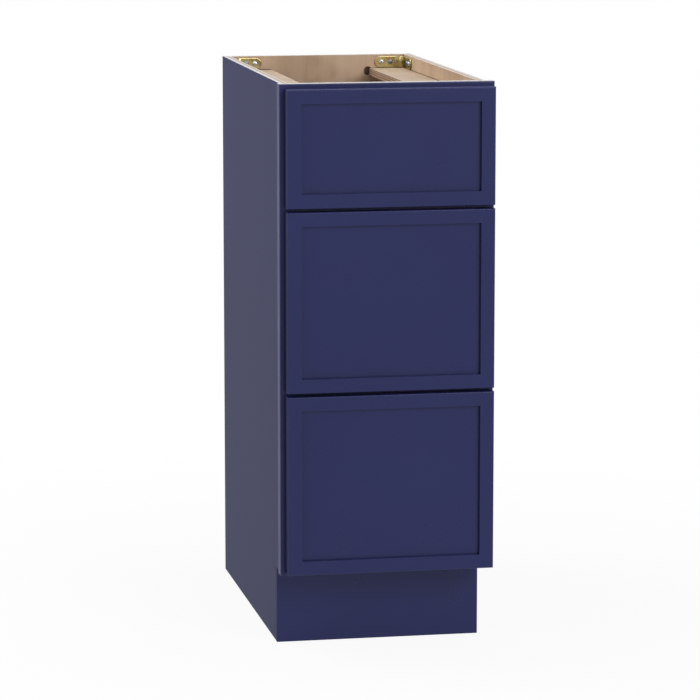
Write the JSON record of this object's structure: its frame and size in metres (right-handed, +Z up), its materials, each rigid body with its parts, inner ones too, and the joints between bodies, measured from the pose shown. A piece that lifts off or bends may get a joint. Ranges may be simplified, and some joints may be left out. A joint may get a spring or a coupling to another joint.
{
  "type": "bathroom vanity drawer base cabinet",
  "caption": "Narrow navy vanity base cabinet with slim-framed overlay drawer fronts, dovetailed drawer boxes on undermount slides, face frame, toe kick and open top for a countertop.",
  "frame": {"origin": "floor level, under the middle of the cabinet's overall box", "axes": "+X to the right seen from the front, +Y from the drawer fronts to the back, +Z up"},
  "size_m": [0.3048, 0.5524, 0.8001],
  "materials": {
    "navy_paint": "satin navy paint on hardwood and fibreboard",
    "case_side": "plywood, satin navy paint outside, clear birch veneer inside",
    "birch_plywood": "clear-coated birch veneer plywood",
    "drawer_plywood": "clear-coated birch drawer stock",
    "yellow_zinc": "yellow zinc plating",
    "zinc_screw": "bright zinc plating",
    "galvanised_steel": "galvanised sheet",
    "grey_plastic": "moulded grey plastic"
  },
  "bodies": {
    "case": {"left_side_panel": "case_side", "right_side_panel": "case_side", "back_panel": "birch_plywood", "bottom_panel": "birch_plywood", "left_stile": "navy_paint", "right_stile": "navy_paint", "top_rail": "navy_paint", "upper_mid_rail": "navy_paint", "lower_mid_rail": "navy_paint", "bottom_rail": "navy_paint", "toe_kick_board": "navy_paint", "left_top_stretcher": "birch_plywood", "right_top_stretcher": "birch_plywood", "left_corner_bracket": "yellow_zinc", "right_corner_bracket": "yellow_zinc", "corner_bracket_screws": "zinc_screw", "slide_rear_clips": "grey_plastic", "slide_screws": "zinc_screw", "top_cabinet_rails": "galvanised_steel", "middle_cabinet_rails": "galvanised_steel", "bottom_cabinet_rails": "galvanised_steel"},
    "top_drawer": {"top_front_left_stile": "navy_paint", "top_front_right_stile": "navy_paint", "top_front_top_rail": "navy_paint", "top_front_bottom_rail": "navy_paint", "top_front_panel": "navy_paint", "top_box_left_side": "drawer_plywood", "top_box_right_side": "drawer_plywood", "top_box_front": "drawer_plywood", "top_box_back": "drawer_plywood", "top_box_bottom": "drawer_plywood", "top_drawer_rails": "galvanised_steel", "top_front_screws": "zinc_screw"},
    "top_runner": {"top_middle_rails": "galvanised_steel"},
    "middle_drawer": {"middle_front_left_stile": "navy_paint", "middle_front_right_stile": "navy_paint", "middle_front_top_rail": "navy_paint", "middle_front_bottom_rail": "navy_paint", "middle_front_panel": "navy_paint", "middle_box_left_side": "drawer_plywood", "middle_box_right_side": "drawer_plywood", "middle_box_front": "drawer_plywood", "middle_box_back": "drawer_plywood", "middle_box_bottom": "drawer_plywood", "middle_drawer_rails": "galvanised_steel", "middle_front_screws": "zinc_screw"},
    "middle_runner": {"middle_middle_rails": "galvanised_steel"},
    "bottom_drawer": {"bottom_front_left_stile": "navy_paint", "bottom_front_right_stile": "navy_paint", "bottom_front_top_rail": "navy_paint", "bottom_front_bottom_rail": "navy_paint", "bottom_front_panel": "navy_paint", "bottom_box_left_side": "drawer_plywood", "bottom_box_right_side": "drawer_plywood", "bottom_box_front": "drawer_plywood", "bottom_box_back": "drawer_plywood", "bottom_box_bottom": "drawer_plywood", "bottom_drawer_rails": "galvanised_steel", "bottom_front_screws": "zinc_screw"},
    "bottom_runner": {"bottom_middle_rails": "galvanised_steel"}
  },
  "joints": [
    {"name": "top_drawer_slide", "type": "slide", "parent": "case", "child": "top_drawer", "axis": [0, -1, 0], "range_m": [0, 0.445]},
    {"name": "top_runner_slide", "type": "slide", "parent": "case", "child": "top_runner", "axis": [0, -1, 0], "range_m": [0, 0.2225]},
    {"name": "middle_drawer_slide", "type": "slide", "parent": "case", "child": "middle_drawer", "axis": [0, -1, 0], "range_m": [0, 0.445]},
    {"name": "middle_runner_slide", "type": "slide", "parent": "case", "child": "middle_runner", "axis": [0, -1, 0], "range_m": [0, 0.2225]},
    {"name": "bottom_drawer_slide", "type": "slide", "parent": "case", "child": "bottom_drawer", "axis": [0, -1, 0], "range_m": [0, 0.445]},
    {"name": "bottom_runner_slide", "type": "slide", "parent": "case", "child": "bottom_runner", "axis": [0, -1, 0], "range_m": [0, 0.2225]}
  ],
  "couplings": [
    {"joint": "top_runner_slide", "follows": "top_drawer_slide", "ratio": 0.5},
    {"joint": "middle_runner_slide", "follows": "middle_drawer_slide", "ratio": 0.5},
    {"joint": "bottom_runner_slide", "follows": "bottom_drawer_slide", "ratio": 0.5}
  ]
}
